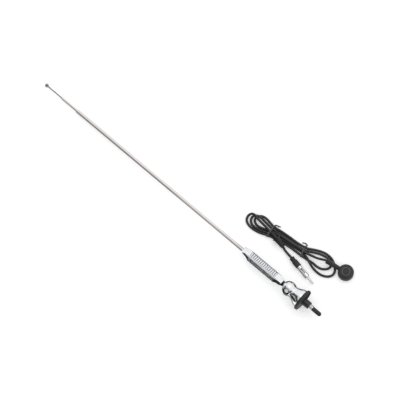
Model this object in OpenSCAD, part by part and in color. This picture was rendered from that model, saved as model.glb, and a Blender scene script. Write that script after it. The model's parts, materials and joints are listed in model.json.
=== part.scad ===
// Telescopic car mast aerial on a ball swivel, lying on the ground beside its own lead.
// The mast and the base are drawn from the swivel's centre: the mast goes up, the base goes down.

/* [Telescope] */
// Diameter of the ball on the tip
tip_ball_d = 6.5; // [5.6:0.1:8]
// Diameter of the solid tip rod
tip_rod_d = 2.2; // [1.8:0.1:2.4]
// Outer diameter of the middle tube
middle_tube_d = 4.6; // [4.3:0.1:4.9]
// Outer diameter of the outer tube
outer_tube_d = 6.7; // [6.3:0.1:7.4]
// Wall of both tubes
tube_wall = 0.4; // [0.3:0.05:0.5]
// Length of the outer tube above the grip
outer_show = 387; // [300:1:450]
// How far the middle tube stands out of the outer tube
middle_out = 36.5; // [20:0.5:60]
// From the middle tube's mouth to the centre of the tip ball
tip_out = 36; // [20:0.5:60]
// Length of each rolled-in mouth
mouth_len = 1.2; // [0.8:0.1:2]
// Length of the brass stop under the middle tube
middle_stop_len = 14; // [10:0.5:20]
// Length of the brass stop under the tip rod
tip_stop_len = 10; // [8:0.5:16]
// Width of the spring ring round each stop
spring_w = 3; // [2:0.1:4]
// Space left under a section that is pushed right in
slide_gap = 8; // [4:0.5:15]

/* [Grip] */
// Width of the grip across its ribbed faces
grip_w = 15.5; // [14.5:0.1:18]
// Width of each ribbed face
grip_face = 10.4; // [9.5:0.1:11]
// Width of the grip's square ends
grip_end_w = 10.8; // [10.2:0.1:12]
// Length of the ribbed middle
ribbed_len = 58.6; // [40:0.2:80]
// Length of the taper towards the mast
upper_taper = 16; // [10:0.5:22]
// Length of the taper towards the swivel
lower_taper = 14.8; // [12:0.2:20]
// Spacing of the ribs
rib_pitch = 3.9; // [3.2:0.1:5]
// Radius of each rounded rib
rib_r = 1.35; // [1.1:0.05:1.5]
// Height of the ribs over the face between them
rib_h = 0.9; // [0.5:0.05:1]
// Plain margin between the ribs and the corner strips
rib_margin = 0.5; // [0.3:0.05:1]
// Depth of the outer tube in the grip
tube_socket = 55; // [40:1:60]
// Turn of the grip about the mast
grip_roll = 21; // [-45:1:45]

/* [Swivel] */
// Diameter of the swivel ball
ball_d = 26.6; // [25:0.1:28]
// Turn of the swivel's screw about the aerial, from straight up
swivel_roll = 50; // [40:1:60]
// Thickness of the black ring over the ball
neck_ring_t = 2; // [1:0.1:4]
// Diameter of the black ring over the ball
neck_ring_d = 10.2; // [9:0.1:10.8]
// Diameter of the threaded neck
neck_stem_d = 6; // [5:0.1:7]
// Length of the neck's thread in the grip
neck_thread = 11; // [8:0.5:13]
// Diameter of the swivel screw's shank
screw_d = 5; // [4:0.1:5.5]
// Diameter of the swivel screw's head
screw_head_d = 8.8; // [8:0.1:9.6]
// Height of the swivel screw's head
screw_head_h = 3; // [2.4:0.1:3.4]
// Diameter of the recess round the screw's head
recess_d = 13; // [11.5:0.1:14]
// Height of the recess's floor over the ball's centre
recess_floor = 6.5; // [5.5:0.1:7]
// Thickness of the spring washer
washer_t = 1; // [0.6:0.1:1.3]
// Diameter of the spring washer
washer_d = 9.4; // [8.6:0.1:10.4]
// Thickness of the fibre disc between the half balls
disc_t = 0.7; // [0.4:0.1:1.2]
// Diameter of the fibre disc
disc_d = 21; // [14:0.5:24]
// Width of the nut across its flats
nut_w = 8; // [7.4:0.1:9]
// Height of the nut
nut_h = 4; // [3:0.1:4.6]

/* [Base] */
// Radius of the bell where it takes the ball
bell_top_r = 10.6; // [10:0.1:11.5]
// Distance of the bell's top from the ball's centre
bell_start = 8; // [7:0.1:9]
// Length of the bell
bell_len = 19.8; // [17:0.1:24]
// Radius of the bell's rim
bell_rim_r = 17.1; // [15.5:0.1:19]
// Wall of the bell
bell_wall = 2.6; // [2:0.1:3.2]
// Radius of the boss inside the bell
boss_r = 7; // [6:0.1:8]
// Radius of the rubber gasket
gasket_r = 20; // [19.5:0.1:23]
// Thickness of the rubber gasket
gasket_t = 5.5; // [4:0.1:8]
// Rounding of the gasket's edges
gasket_round = 1.5; // [0.8:0.1:1.9]
// Diameter of the black mounting bush
bush_d = 13; // [11.5:0.1:14]
// Length of the mounting bush below the gasket
bush_len = 13.7; // [8:0.1:20]
// Diameter of the metal stud
stud_d = 8.4; // [7.8:0.1:9]
// Length of bare stud below the bush
stud_show = 6.4; // [4:0.1:10]
// Depth of the stud's thread in the bell
stud_thread = 9; // [7:0.5:10]
// Diameter of the black end sleeve
end_sleeve_d = 7.8; // [7:0.1:8.2]
// Length of the black end sleeve
end_sleeve_len = 18.7; // [12:0.1:24]
// Diameter of the contact pin in the end sleeve
contact_pin_d = 2.4; // [1.8:0.1:3]
// How far the contact pin stands out of the end sleeve
contact_tip = 0.5; // [0.3:0.1:1]

/* [Fits] */
// Clearance on the radius of a running fit
run_clear = 0.06; // [0.03:0.01:0.09]
// Clearance on the radius of a seat that doesn't move
seat_clear = 0.03; // [0.02:0.01:0.05]
// Clearance between sliding faces
face_clear = 0.05; // [0.03:0.01:0.1]
// Clearance round the swivel ball
swivel_clear = 0.3; // [0.2:0.05:0.5]

/* [Radio plug] */
// Diameter of the plug's metal barrel
barrel_d = 8.2; // [7.8:0.1:8.6]
// Length of the barrel in front of the boot
barrel_len = 23; // [18:0.5:28]
// Wall of the barrel
barrel_wall = 0.5; // [0.4:0.05:0.8]
// Diameter of the plug's centre pin
plug_pin_d = 3.1; // [2.8:0.1:3.4]
// Length of the pin in front of the barrel
plug_pin_len = 16; // [12:0.5:20]
// Diameter of the plug's rubber boot
plug_boot_d = 10.2; // [9.6:0.1:12]
// Length of the plug's rubber boot
plug_boot_len = 20; // [16:0.5:26]
// Diameter of the boot's waist behind the barrel
plug_waist_d = 8.2; // [7.6:0.1:9]
// Diameter of the collar at the boot's rear end
plug_collar_d = 9.2; // [8.6:0.1:10]
// Depth of the barrel in its boot
barrel_in_boot = 8; // [5:0.5:10]

/* [Stud boot] */
// Diameter of the round boot
stud_boot_d = 28; // [26:0.2:30]
// Height of the round boot
stud_boot_h = 14; // [13.6:0.2:17]
// Wall of the metal cup in the boot
socket_wall = 0.6; // [0.4:0.05:0.8]
// Depth of the metal cup
socket_len = 10; // [7:0.5:10.5]
// Rounding of the boot's top edge
boot_round = 5; // [3:0.5:6]
// Length of the sleeve on the cable beside the boot
boot_sleeve_len = 23; // [18:0.5:26]
// Diameter of that sleeve at the cable's end
boot_sleeve_d1 = 9.6; // [8.6:0.1:9.8]
// Diameter of that sleeve at the boot
boot_sleeve_d2 = 7.8; // [7:0.1:8.4]

/* [Lead] */
// Diameter of the lead
cable_d = 4.4; // [4:0.1:4.4]
// Large diameter of the sleeve along the lead
inline_d1 = 12.2; // [10:0.1:12.6]
// Small diameter of the sleeve along the lead
inline_d2 = 6.8; // [6:0.1:7.6]
// Diameter of the flange at the sleeve's large end
inline_flange_d = 14.4; // [13:0.1:14.6]
// Width of the twist ties
tie_w = 3.2; // [1.6:0.1:3.6]
// Thickness of the twist ties
tie_t = 0.7; // [0.4:0.1:0.8]

/* [Hidden] */
$fn = 64;

// Heights up the mast from the swivel's centre
ball_r = ball_d / 2;
ring_low = ball_r + swivel_clear;
grip_low = ring_low + neck_ring_t;
ribs_low = grip_low + lower_taper;
ribs_high = ribs_low + ribbed_len;
grip_high = ribs_high + upper_taper;
tube_low = grip_high - tube_socket;
outer_mouth = grip_high + outer_show;
middle_mouth = outer_mouth + middle_out;
tip_height = middle_mouth + tip_out;
middle_low = tube_low + slide_gap + middle_stop_len + middle_out;
rod_low = middle_low + slide_gap + tip_stop_len + tip_out - tip_ball_d / 2;

// Depths down the base from the swivel's centre
bell_low = bell_start + bell_len;
gasket_low = bell_low + gasket_t;
bush_low = gasket_low + bush_len;
stud_low = bush_low + stud_show;
sleeve_low = stud_low + end_sleeve_len;

// The aerial lies on the gasket's upper edge and on the tip ball
edge_r = gasket_r - gasket_round;
edge_run = bell_low + gasket_round + tip_height;
edge_reach = sqrt(edge_run * edge_run + edge_r * edge_r);
lie_angle = atan(edge_r / edge_run) + asin((gasket_round - tip_ball_d / 2) / edge_reach);
axis_z = tip_height * sin(lie_angle) + tip_ball_d / 2;
far_x = (sleeve_low - end_sleeve_d / 2) * cos(lie_angle) + end_sleeve_d / 2;
near_x = -tip_height * cos(lie_angle) - tip_ball_d / 2;
swivel_x = -(far_x + near_x) / 2;

// Grip, neck and swivel details
face_gap = disc_t / 2 + face_clear;
stop_wall_gap = 0.03;
spring_wall = 0.5;
neck_core_d = neck_ring_d - 0.4;
rib_sink = 0.05;
rib_end_margin = 0.6;
head_edge = 0.6;
key_depth = 1.4;
washer_split = 0.6;
split_turn = 35;
nut_recess = 1;
rib_count = floor(ribbed_len / rib_pitch);
first_rib = ribs_low + (ribbed_len - (rib_count - 1) * rib_pitch) / 2;
bell_steps = 18;
cavity_top = bell_start + 9;
bush_edge = 1;
shoulder_d = bush_d + 1;
shoulder_out = 0.1;
pin_taper = 0.8;

// How far a cutting shape runs past the surface that it cuts
cut = 1;

// The lead's places on the ground are measured from this point below the swivel
lead_place = [247, 0, 0];
layer_h = 4.5;
stack_h = 9.1;
cable_r = cable_d / 2;
boot_centre = [53.5, 89.5, 0];
boot_turn = 10.9;
boot_axis_z = 6;
boot_rise = 8;
boot_neck = 16.4;
socket_d = end_sleeve_d + 2 * run_clear;
socket_mouth = 0.8;
plug_rear = [-34, 47.5, 5.2];
plug_turn = -10;
inline_rear = [-77, 56, 11];
inline_front = [-58, 52.6, 4.6];
tail_route = [[-21.5, 70.4, 6.8], [-12, 72.6, 6.9], [0, 76, 7.6], [7, 79, 9.4], [14.3, 82, 11.3]];
plug_route = [[-57.6, 52.5, 4.5], [-50, 50.2, 3.2], [-42, 48.8, 4.2], [-34.6, 47.6, 5.1]];
rise_route = [[-88, 60.3, 6.7], [-85, 60, 8], [-82, 58.3, 10.4], [-79.5, 56.6, 11.5], [-77.2, 56.04, 11.07]];
rear_tie_at = [-93, 60.6, 0];
rear_tie_turn = 4;
front_tie_at = [-27, 70, 0];
front_tie_turn = 17;
tie_gap = 0.1;

// Lays what is drawn about the swivel's centre on the ground
module lying() {
    translate([swivel_x, 0, axis_z]) rotate([0, -lie_angle, 0]) children();
}

// Turns what is drawn upwards so that it runs along the mast
module up_mast() {
    lying() rotate([0, -90, 0]) children();
}

// Turns what is drawn upwards so that it runs down the base
module down_base() {
    lying() rotate([0, 90, 0]) children();
}

// Sets what is drawn round the swivel's own screw
module round_screw() {
    lying() rotate([swivel_roll, 0, 0]) children();
}

// A straight pipe from one height to another
module pipe(low, high, outer_r, inner_r) {
    translate([0, 0, low]) difference() {
        cylinder(h = high - low, r = outer_r);
        translate([0, 0, -cut]) cylinder(h = high - low + 2 * cut, r = inner_r);
    }
}

// A tube of the telescope, rolled in at its mouth to hold the next section
module section_tube(low, high, outer_d, inner_d) {
    pipe(low, high - mouth_len, outer_d / 2, outer_d / 2 - tube_wall);
    pipe(high - mouth_len, high, outer_d / 2, inner_d / 2 + run_clear);
}

// A split ring of spring brass that drags inside the tube around it
module spring_ring(low, outer_r, inner_r) {
    difference() {
        pipe(low, low + spring_w, outer_r, inner_r);
        translate([0, -inner_r * 0.3, low - cut]) cube([outer_r + cut, inner_r * 0.6, spring_w + 2 * cut]);
    }
}

// Bore and stop sizes that follow from the tubes
outer_bore_r = outer_tube_d / 2 - tube_wall;
middle_bore_r = middle_tube_d / 2 - tube_wall;
middle_stop_r = outer_bore_r - run_clear;
tip_stop_r = middle_bore_r - run_clear;
tip_groove_r = (tip_stop_r + tip_rod_d / 2) / 2;
rod_in_stop = tip_stop_len * 0.6;
middle_spring_low = middle_low - (middle_stop_len + spring_w) / 2;
tip_spring_low = rod_low - (tip_stop_len + spring_w) / 2;

module tip_ball() {
    color("gainsboro") up_mast() translate([0, 0, tip_height]) difference() {
        sphere(d = tip_ball_d);
        translate([0, 0, -tip_ball_d]) cylinder(h = tip_ball_d * 1.2, d = tip_rod_d + 2 * seat_clear);
    }
}

module tip_rod() {
    color("lightgray") up_mast() translate([0, 0, rod_low - rod_in_stop])
        cylinder(h = tip_height + tip_ball_d * 0.2 - rod_low + rod_in_stop, d = tip_rod_d);
}

module tip_stop() {
    color("goldenrod") up_mast() difference() {
        pipe(rod_low - tip_stop_len, rod_low, tip_stop_r, tip_rod_d / 2 + seat_clear);
        pipe(tip_spring_low - face_clear, tip_spring_low + spring_w + face_clear,
            tip_stop_r + cut, tip_groove_r);
    }
    color("goldenrod") up_mast() translate([0, 0, rod_low - tip_stop_len])
        cylinder(h = tip_stop_len - rod_in_stop - seat_clear, r = tip_rod_d / 2 + seat_clear * 2);
}

module tip_spring() {
    color("darkgoldenrod") up_mast() spring_ring(tip_spring_low, middle_bore_r - stop_wall_gap,
        tip_groove_r + seat_clear);
}

module middle_tube() {
    color("silver") up_mast() section_tube(middle_low, middle_mouth, middle_tube_d, tip_rod_d);
}

module middle_stop() {
    color("goldenrod") up_mast() difference() {
        union() {
            translate([0, 0, middle_low - middle_stop_len]) cylinder(h = middle_stop_len, r = middle_stop_r);
            translate([0, 0, middle_low - cut]) cylinder(h = slide_gap - cut, r = middle_bore_r - seat_clear);
        }
        pipe(middle_spring_low - face_clear, middle_spring_low + spring_w + face_clear,
            middle_stop_r + cut, middle_stop_r - spring_wall);
    }
}

module middle_spring() {
    color("darkgoldenrod") up_mast() spring_ring(middle_spring_low, outer_bore_r - stop_wall_gap,
        middle_stop_r - spring_wall + seat_clear);
}

module outer_tube() {
    color("silver") up_mast() section_tube(tube_low, outer_mouth, outer_tube_d, middle_tube_d);
}

// Square with its corners cut back to the smooth strips
module grip_outline() {
    strips_w = (grip_w + grip_face) / sqrt(2);
    intersection() {
        square([grip_w, grip_w], center = true);
        rotate([0, 0, 45]) square([strips_w, strips_w], center = true);
    }
}

// Side view of the grip, tapering to its square ends, as a slab right across it
module grip_side(turn) {
    wide = grip_w / 2;
    narrow = grip_end_w / 2;
    rotate([90, 0, turn]) linear_extrude(2 * grip_w, center = true)
        polygon([[-narrow, grip_low], [narrow, grip_low], [wide, ribs_low], [wide, ribs_high],
            [narrow, grip_high], [-narrow, grip_high], [-wide, ribs_high], [-wide, ribs_low]]);
}

// The rounded ribs of one face, as the outline that is cut into it
rib_steps = 4;
rib_half_angle = acos((rib_r - rib_h) / rib_r);
function rib_angle(j) = rib_half_angle * (2 * j / rib_steps - 1);
function rib_point(k, j) = [grip_w / 2 - rib_sink - rib_r * (1 - cos(rib_angle(j))),
    first_rib + k * rib_pitch + rib_r * sin(rib_angle(j))];

module rib_cut() {
    ends = [ribs_low + rib_end_margin, ribs_high - rib_end_margin];
    floor_x = grip_w / 2 - rib_sink - rib_h;
    rotate([90, 0, 0]) linear_extrude(grip_face - 2 * rib_margin, center = true)
        polygon(concat([[grip_w, ends[0]], [floor_x, ends[0]]],
            [for (k = [0 : rib_count - 1]) for (j = [0 : rib_steps]) rib_point(k, j)],
            [[floor_x, ends[1]], [grip_w, ends[1]]]));
}

module grip() {
    color("whitesmoke") up_mast() rotate([0, 0, grip_roll]) difference() {
        intersection() {
            translate([0, 0, grip_low - cut]) linear_extrude(grip_high - grip_low + 2 * cut) grip_outline();
            grip_side(0);
            grip_side(90);
        }
        for (side = [0 : 3])
            rotate([0, 0, side * 90]) rib_cut();
        translate([0, 0, tube_low]) cylinder(h = tube_socket + cut, d = outer_tube_d + 2 * seat_clear);
        translate([0, 0, grip_low - cut]) cylinder(h = neck_thread + 2 * cut, d = neck_stem_d + 2 * seat_clear);
    }
}

module neck_ring() {
    color("#1c1c1c") up_mast() pipe(ring_low, grip_low, neck_ring_d / 2, neck_stem_d / 2 + seat_clear);
}

// Half of the space round the swivel's screw, on the screw head's side for 1 and on the nut's side for -1
module half_space(side) {
    far = ball_d * 2;
    translate([-far / 2, -far / 2, side > 0 ? face_gap : -far - face_gap]) cube([far, far, far]);
}

module swivel_half() {
    color("gainsboro") difference() {
        union() {
            round_screw() intersection() {
                sphere(d = ball_d);
                half_space(1);
            }
            intersection() {
                up_mast() cylinder(h = ring_low, d = neck_core_d);
                round_screw() half_space(1);
            }
            intersection() {
                up_mast() cylinder(h = ring_low + cut, d = neck_stem_d);
                round_screw() half_space(1);
            }
            up_mast() translate([0, 0, ring_low]) cylinder(h = neck_ring_t + neck_thread, d = neck_stem_d);
        }
        round_screw() translate([0, 0, recess_floor]) cylinder(h = ball_d, d = recess_d);
        round_screw() translate([0, 0, -cut]) cylinder(h = ball_d, d = screw_d + 2 * run_clear);
    }
}

module friction_disc() {
    color("#3a2a20") round_screw() pipe(-disc_t / 2, disc_t / 2, disc_d / 2, screw_d / 2 + run_clear);
}

module swivel_screw() {
    head_low = recess_floor + face_clear + washer_t;
    head_high = head_low + screw_head_h;
    tail = recess_floor + nut_h - nut_recess;
    color("lightgray") round_screw() difference() {
        union() {
            translate([0, 0, -tail]) cylinder(h = tail + head_low + cut, d = screw_d);
            translate([0, 0, head_low]) cylinder(h = screw_head_h - head_edge, d = screw_head_d);
            translate([0, 0, head_high - head_edge])
                cylinder(h = head_edge, d1 = screw_head_d, d2 = screw_head_d - 2 * head_edge);
        }
        translate([0, 0, head_high - key_depth]) cylinder(h = key_depth + cut, d = screw_d, $fn = 6);
    }
}

module swivel_washer() {
    color("darkgray") round_screw() difference() {
        pipe(recess_floor + face_clear, recess_floor + face_clear + washer_t, washer_d / 2,
            screw_d / 2 + seat_clear);
        translate([0, 0, recess_floor - cut]) rotate([0, 0, split_turn]) translate([0, -washer_split / 2, 0])
            cube([washer_d, washer_split, washer_t + 2 * cut]);
    }
}

module swivel_nut() {
    color("silver") round_screw() translate([0, 0, -recess_floor - nut_h]) difference() {
        cylinder(h = nut_h - seat_clear, d = nut_w / cos(30), $fn = 6);
        translate([0, 0, -cut]) cylinder(h = nut_h + 2 * cut, d = screw_d + 2 * seat_clear);
    }
}

// Flowing outline of the bell, from its top to its rim
function bell_r(t) = bell_top_r + (bell_rim_r - bell_top_r) * (1 - cos(180 * t)) / 2;
function bell_point(k) = [bell_r(k / bell_steps), bell_start + bell_len * k / bell_steps];
function cavity_z(k) = cavity_top + (bell_low - cavity_top) * k / bell_steps;
function cavity_point(k) = [bell_r((cavity_z(k) - bell_start) / bell_len) - bell_wall, cavity_z(k)];

// Bell with its flared skirt, hollow underneath round the boss that takes the stud
module bell_shell() {
    hole_r = stud_d / 2 + seat_clear;
    rotate_extrude() polygon(concat([[0, bell_start - 1.5], [bell_top_r, bell_start - 1.5]],
        [for (k = [0 : bell_steps]) bell_point(k)],
        [for (k = [bell_steps : -1 : 0]) cavity_point(k)],
        [[boss_r, cavity_top], [boss_r, bell_low], [hole_r, bell_low], [hole_r, bell_low - stud_thread],
        [0, bell_low - stud_thread]]));
}

module base_bell() {
    color("gainsboro") difference() {
        union() {
            down_base() bell_shell();
            round_screw() intersection() {
                sphere(d = ball_d);
                half_space(-1);
            }
        }
        round_screw() intersection() {
            sphere(r = ball_r + swivel_clear);
            translate([0, 0, -2 * face_gap]) half_space(1);
        }
        round_screw() translate([0, 0, -ball_d]) cylinder(h = ball_d, d = screw_d + 2 * run_clear);
        round_screw() translate([0, 0, -ball_d - recess_floor])
            cylinder(h = ball_d, d = (nut_w + 2 * face_clear) / cos(30), $fn = 6);
    }
}

module gasket() {
    color("#161616") down_base() difference() {
        rotate_extrude() union() {
            translate([0, bell_low]) square([gasket_r - gasket_round, gasket_t]);
            translate([0, bell_low + gasket_round]) square([gasket_r, gasket_t - 2 * gasket_round]);
            for (z = [bell_low + gasket_round, gasket_low - gasket_round])
                translate([gasket_r - gasket_round, z]) circle(r = gasket_round);
        }
        translate([0, 0, bell_low - cut]) cylinder(h = gasket_t + 2 * cut, d = shoulder_d + 2 * seat_clear);
    }
}

// The bush has a shoulder where the gasket sits on it
module mount_bush() {
    color("#222222") down_base() difference() {
        union() {
            translate([0, 0, bell_low + face_clear])
                cylinder(h = gasket_t + shoulder_out - face_clear, d = shoulder_d);
            translate([0, 0, gasket_low]) cylinder(h = bush_len - bush_edge, d = bush_d);
            translate([0, 0, bush_low - bush_edge])
                cylinder(h = bush_edge, d1 = bush_d, d2 = bush_d - 1.4 * bush_edge);
        }
        translate([0, 0, bell_low - cut])
            cylinder(h = gasket_t + bush_len + 2 * cut, d = stud_d + 2 * seat_clear);
    }
}

module base_stud() {
    stud_top = bell_low - stud_thread + 0.5;
    color("silver") down_base() {
        translate([0, 0, stud_top]) cylinder(h = stud_low - stud_top, d = stud_d);
        translate([0, 0, stud_low - cut]) cylinder(h = end_sleeve_len + cut, d = contact_pin_d);
        translate([0, 0, sleeve_low])
            cylinder(h = contact_tip, d1 = contact_pin_d, d2 = contact_pin_d - pin_taper);
    }
}

module end_sleeve() {
    end_r = end_sleeve_d / 2;
    color("#161616") down_base() difference() {
        union() {
            translate([0, 0, stud_low]) cylinder(h = end_sleeve_len - end_r, r = end_r);
            translate([0, 0, sleeve_low - end_r]) sphere(r = end_r);
        }
        translate([0, 0, stud_low - cut])
            cylinder(h = end_sleeve_len + 2 * cut, d = contact_pin_d + 2 * seat_clear);
    }
}

// Puts a piece of the lead in its place on the ground
module lead_at(place = [0, 0, 0], turn = 0) {
    translate(lead_place + place) rotate([0, 0, turn]) children();
}

// Lays a piece along the cable's way into the round boot
module into_boot() {
    lead_at(boot_centre, boot_turn) translate([0, 0, boot_axis_z]) rotate([0, boot_rise - 90, 0]) children();
}

module stud_boot() {
    ring_r = 5.5;
    ring_w = 1.2;
    ring_depth = 0.7;
    foot_h = 1;
    foot_in = 0.8;
    rim = stud_boot_d / 2;
    cup_d = socket_d + 2 * socket_wall + 2 * seat_clear;
    color("#2b2b2b") difference() {
        union() {
            lead_at(boot_centre) rotate_extrude() union() {
                square([rim - boot_round, stud_boot_h]);
                translate([0, foot_h]) square([rim, stud_boot_h - boot_round - foot_h]);
                square([rim - foot_in, foot_h + 0.5]);
                translate([rim - boot_round, stud_boot_h - boot_round]) circle(r = boot_round);
            }
            into_boot() cylinder(h = boot_neck, d = boot_sleeve_d2);
        }
        lead_at(boot_centre) pipe(stud_boot_h - ring_depth, stud_boot_h + cut, ring_r, ring_r - ring_w);
        lead_at(boot_centre) translate([0, 0, -cut])
            cylinder(h = cut + socket_mouth + socket_len + socket_wall + face_clear, d = cup_d);
        lead_at(boot_centre) translate([0, 0, -cut])
            cylinder(h = cut + socket_mouth * 0.75, d1 = cup_d + 4.6, d2 = cup_d + 1);
    }
}

// Metal cup that grips the end sleeve, and whose top meets the contact pin
module boot_contact() {
    slot_w = 0.8;
    color("silver") lead_at(boot_centre, boot_turn) difference() {
        translate([0, 0, socket_mouth]) cylinder(h = socket_len + socket_wall, d = socket_d + 2 * socket_wall);
        translate([0, 0, socket_mouth - cut]) cylinder(h = socket_len + cut, d = socket_d);
        translate([-slot_w / 2, -socket_d, socket_mouth - cut]) cube([slot_w, socket_d * 2, socket_len * 0.6]);
    }
}

module boot_sleeve() {
    color("#303030") into_boot() translate([0, 0, boot_neck + face_clear])
        cylinder(h = boot_sleeve_len, d1 = boot_sleeve_d2, d2 = boot_sleeve_d1);
}

// Sweeping a round cable along a route of hand-chosen points
cable_sides = 10;
function unit(v) = v / norm(v);
function spline(a, b, c, d, t) =
    0.5 * (2 * b + (c - a) * t + (2 * a - 5 * b + 4 * c - d) * t * t + (3 * b - a - 3 * c + d) * t * t * t);
function route_at(p, k, t) =
    spline(p[max(k - 1, 0)], p[k], p[k + 1], p[min(k + 2, len(p) - 1)], t);
function smooth_route(p, n) =
    concat([for (k = [0 : len(p) - 2]) for (j = [0 : n - 1]) route_at(p, k, j / n)], [p[len(p) - 1]]);
function along(p, k) = unit(p[min(k + 1, len(p) - 1)] - p[max(k - 1, 0)]);
function ring_point(centre, d, r, a) =
    let (side = unit(cross(d, [0, 0, 1])), up = cross(side, d))
    centre + r * (side * cos(a) + up * sin(a));

module cable_tube(points, r) {
    route = smooth_route(points, 2);
    count = len(route);
    rings = [for (k = [0 : count - 1]) for (j = [0 : cable_sides - 1])
        ring_point(route[k], along(route, k), r, j * 360 / cable_sides)];
    walls = [for (k = [0 : count - 2]) for (j = [0 : cable_sides - 1])
        let (a = k * cable_sides + j, b = k * cable_sides + (j + 1) % cable_sides)
        [a, b, b + cable_sides, a + cable_sides]];
    first_end = [for (j = [cable_sides - 1 : -1 : 0]) j];
    last_end = [for (j = [0 : cable_sides - 1]) (count - 1) * cable_sides + j];
    polyhedron(points = rings, faces = concat(walls, [first_end, last_end]), convexity = 8);
}

module lead_tail() {
    color("#333333") lead_at() cable_tube(tail_route, cable_r);
}

module plug_tail() {
    color("#333333") lead_at() cable_tube(plug_route, cable_r);
}

// Lays a piece along the sleeve in the lead, from the sleeve's rear face
inline_run = inline_front - inline_rear;
inline_slope = atan(-inline_run[2] / norm([inline_run[0], inline_run[1]]));

module along_inline() {
    lead_at(inline_rear) rotate([0, 90 + inline_slope, atan2(inline_run[1], inline_run[0])]) children();
}

// A flat patch of the hank with round corners
module patch(places, r) {
    hull() for (p = places) translate(p) circle(r = r, $fn = 24);
}

// One row of the upper layer of cables
module cable_row(from, to) {
    linear_extrude(stack_h) patch([from, to], cable_r);
}

// Inside of a twist tie, round the cables that it holds
module tie_hole(half_w, peak_low, peak_high, grow) {
    low_z = tie_t + tie_gap + cable_r;
    hull() {
        for (y = [-half_w + cable_r, half_w - cable_r])
            translate([y, low_z]) circle(r = cable_r + grow);
        for (y = [peak_low, peak_high])
            translate([y, stack_h - cable_r]) circle(r = cable_r + grow);
    }
}

// A slice across the bundle, as thick as given
module across(at, turn, thick) {
    lead_at(at, turn) rotate([90, 0, 90]) translate([0, 0, -thick / 2]) linear_extrude(thick) children();
}

module rear_hole(grow) {
    tie_hole(11.9, -0.4, 6.2, grow);
}

module front_hole(grow) {
    tie_hole(10.4, -1.6, 1.6, grow);
}

module tie_slot(at, turn) {
    across(at, turn, tie_w + 4 * tie_gap) difference() {
        translate([-20, -5]) square([40, 25]);
        children();
    }
}

// The hank's loops and its two tied rows, standing on the ground
module hank_bundle() {
    linear_extrude(layer_h) {
        patch([[-135, 50], [-130, 47.5], [-112, 47.5], [-96, 53.5], [-96, 68], [-112, 69], [-120, 68.5],
            [-134, 60]], 5.7);
        patch([[-98, 54], [-98, 68], [-84, 63], [-84, 66.5]], 4.5);
        patch([[-86, 64.5], [-86, 67], [-60, 64.5], [-60, 69], [-27, 64.5], [-27, 75.5]], 4.4);
        patch([[-27, 65], [-27, 74], [0, 65], [12, 62], [26, 65], [33, 70], [33, 78], [20, 86], [10, 88],
            [0, 86]], 7);
    }
    cable_row([-114, 60.4], [-84.5, 60.2]);
    cable_row([-86, 66.9], [-24.5, 70.1]);
}

module lead_hank() {
    color("#333333") difference() {
        union() {
            lead_at() hank_bundle();
            lead_at() cable_tube(rise_route, cable_r - 0.02);
        }
        tie_slot(rear_tie_at, rear_tie_turn) rear_hole(0);
        tie_slot(front_tie_at, front_tie_turn) front_hole(0);
    }
}

// A flat wire tie twisted once over the bundle, with its tail
module twist_tie(at, turn, tail_from, tail_length) {
    across(at, turn, tie_w) difference() {
        children(0);
        children(1);
    }
    lead_at(at, turn) translate(tail_from) rotate([35, 0, 0]) translate([-tie_w / 2, 0, 0])
        cube([tie_w, tail_length, tie_t]);
}

module rear_tie() {
    color("#4a4642") twist_tie(rear_tie_at, rear_tie_turn, [0, 9.4, 6.2], 7) {
        rear_hole(tie_t);
        rear_hole(tie_gap);
    }
}

module front_tie() {
    color("#4a4642") twist_tie(front_tie_at, front_tie_turn, [0, 7.6, 6.2], 8) {
        front_hole(tie_t);
        front_hole(tie_gap);
    }
}

// A tapered grommet with a flange at its large end
module inline_sleeve() {
    flange_t = 1.8;
    flange_edge = 0.4;
    color("#2b2b2b") along_inline() {
        cylinder(h = norm(inline_run), d1 = inline_d1, d2 = inline_d2);
        cylinder(h = flange_t - flange_edge, d = inline_flange_d);
        translate([0, 0, flange_t - flange_edge])
            cylinder(h = flange_edge, d1 = inline_flange_d, d2 = inline_flange_d - 2 * flange_edge);
    }
}

// The plug's barrel: its rear with the window, its wider front ring and its rolled-in nose
barrel_rear_d = barrel_d - 0.3;
window_from = 5;
window_len = 11;
window_w = 2.6;
front_ring = plug_boot_len + window_from + window_len + 1;
nose_len = 2.6;
nose_r = plug_pin_d / 2 + 1.6;
pin_in_barrel = 12;
pin_neck_d = plug_pin_d - 0.6;
nylon_out = 0.4;
nylon_len = 6;

// Lays a piece of the plug along the plug's own axis
module along_plug() {
    lead_at(plug_rear, plug_turn) rotate([0, 90, 0]) children();
}

// The boot has a collar at its rear, a waist and a wide front that takes the barrel
module plug_boot() {
    edge = 0.5;
    collar_len = 2;
    waist_end = 6.5;
    flare_end = 8.5;
    collar_r = plug_collar_d / 2;
    waist_r = plug_waist_d / 2;
    front_r = plug_boot_d / 2;
    color("#262626") along_plug() difference() {
        rotate_extrude() polygon([[0, 0], [collar_r - edge, 0], [collar_r, edge], [collar_r, collar_len],
            [waist_r, collar_len + edge], [waist_r, waist_end], [front_r, flare_end],
            [front_r, plug_boot_len - edge], [front_r - edge, plug_boot_len], [0, plug_boot_len]]);
        translate([0, 0, plug_boot_len - barrel_in_boot])
            cylinder(h = barrel_in_boot + cut, d = barrel_rear_d + 2 * seat_clear);
    }
}

module plug_barrel() {
    low = plug_boot_len - barrel_in_boot;
    high = plug_boot_len + barrel_len;
    color("gainsboro") along_plug() difference() {
        union() {
            pipe(low, front_ring + cut, barrel_rear_d / 2, barrel_d / 2 - barrel_wall);
            pipe(front_ring, high, barrel_d / 2, barrel_d / 2 - barrel_wall);
            pipe(high - nose_len, high, barrel_d / 2, nose_r);
        }
        translate([-barrel_d, -window_w / 2, plug_boot_len + window_from])
            cube([barrel_d, window_w, window_len]);
    }
}

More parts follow.
